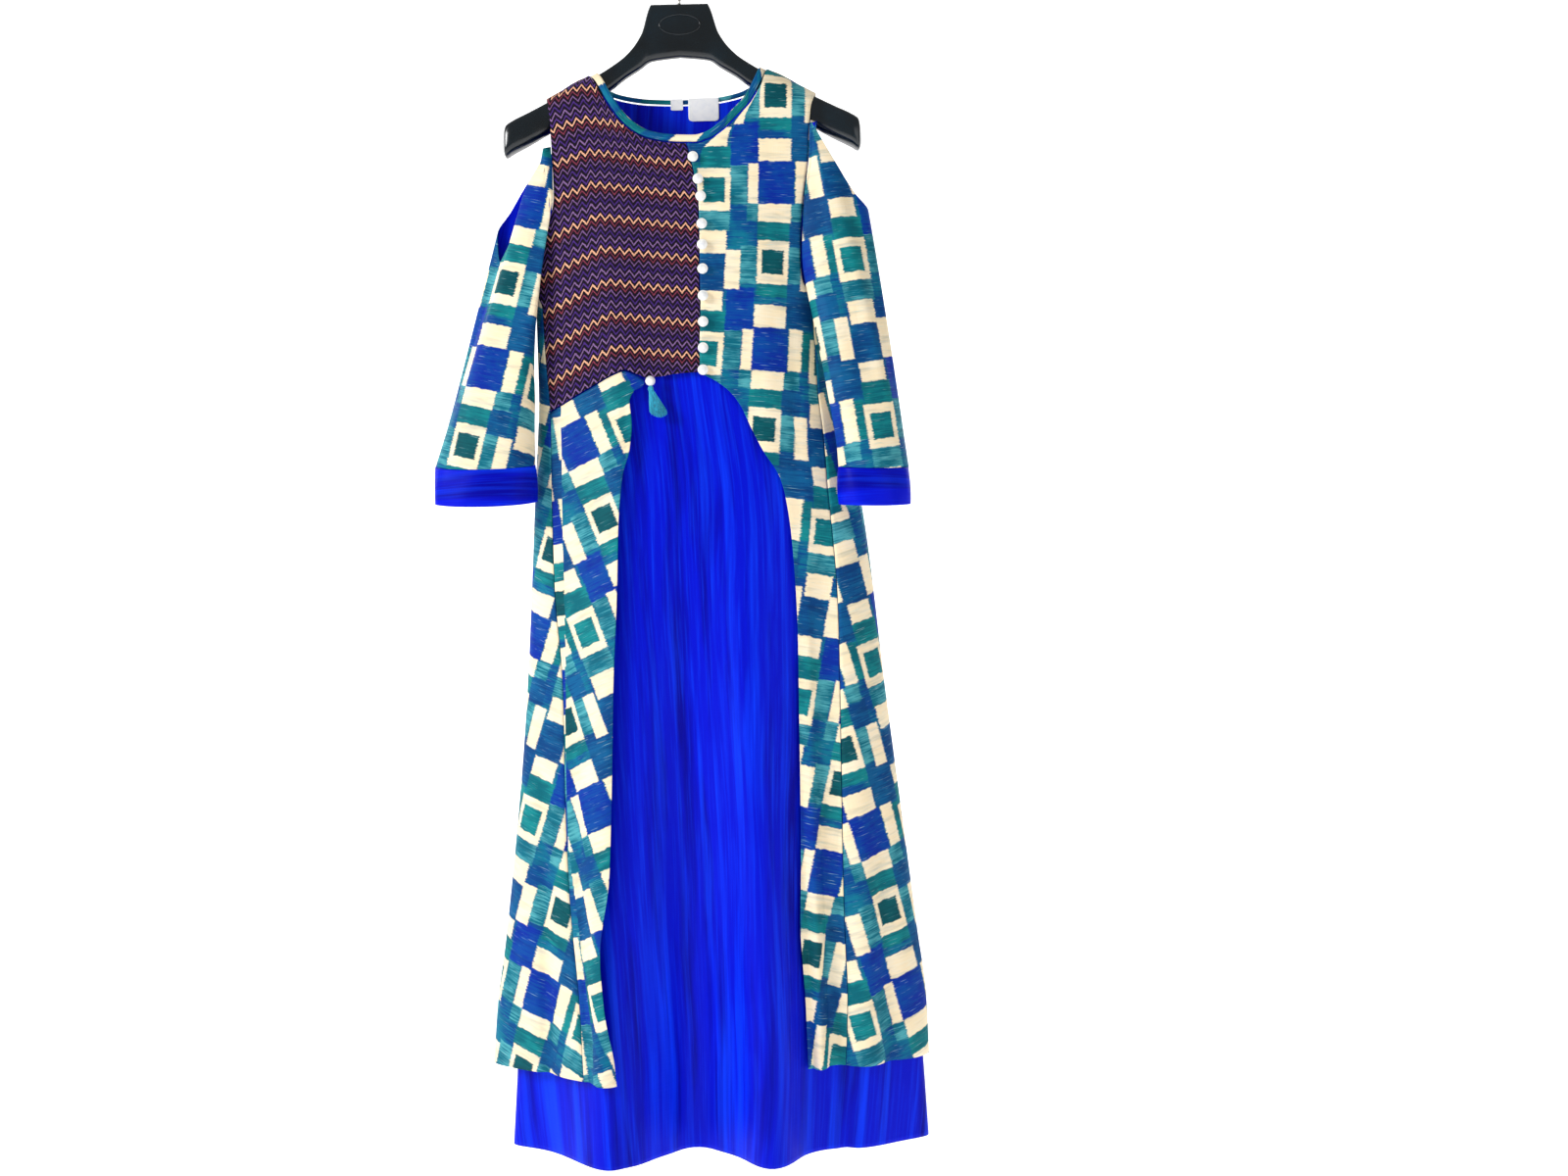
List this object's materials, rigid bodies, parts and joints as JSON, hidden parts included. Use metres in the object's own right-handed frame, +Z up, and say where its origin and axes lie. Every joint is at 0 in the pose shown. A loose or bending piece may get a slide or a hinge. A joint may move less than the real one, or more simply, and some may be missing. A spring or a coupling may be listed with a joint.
{
  "type": "layered silk dress on a suit hanger",
  "caption": "Long layered silk dress with a printed cut-away overlayer, cold-shoulder sleeves and a chevron bodice, hanging on a plastic suit hanger.",
  "frame": {"origin": "underside of the hook's crown, where the hanger hangs on a rail", "axes": "+Z up along the hanging dress, -Y out of the dress's front, +X to the viewer's right"},
  "size_m": [0.5759, 0.219, 1.4341],
  "materials": {
    "silk_blue": "slub silk with a soft sheen",
    "print_cloth": "printed slub silk in cream, teal and blue checks",
    "chevron_cloth": "chevron cloth in purple, black and peach",
    "pearl": "pearly white",
    "label_cloth": "plain white satin tape",
    "tassel_thread": "teal thread",
    "hanger_plastic": "moulded gloss black",
    "hook_steel": "plated wire"
  },
  "bodies": {
    "root": {"under_front": "silk_blue", "under_back": "silk_blue", "bodice_chevron_right": "chevron_cloth", "print_front_left": "print_cloth", "print_skirt_right": "print_cloth", "print_back": "print_cloth", "sleeve_right": "print_cloth", "sleeve_left": "print_cloth", "cuff_right": "silk_blue", "cuff_left": "silk_blue", "neck_binding_front": "print_cloth", "neck_binding_back": "print_cloth", "button_01": "pearl", "button_02": "pearl", "button_03": "pearl", "button_04": "pearl", "button_05": "pearl", "button_06": "pearl", "button_07": "pearl", "button_08": "pearl", "button_09": "pearl", "button_10": "pearl", "tassel_bead": "pearl", "tassel": "tassel_thread", "label_small": "label_cloth", "label_large": "label_cloth", "hanger_body": "hanger_plastic", "hanger_hook": "hook_steel"}
  },
  "joints": []
}
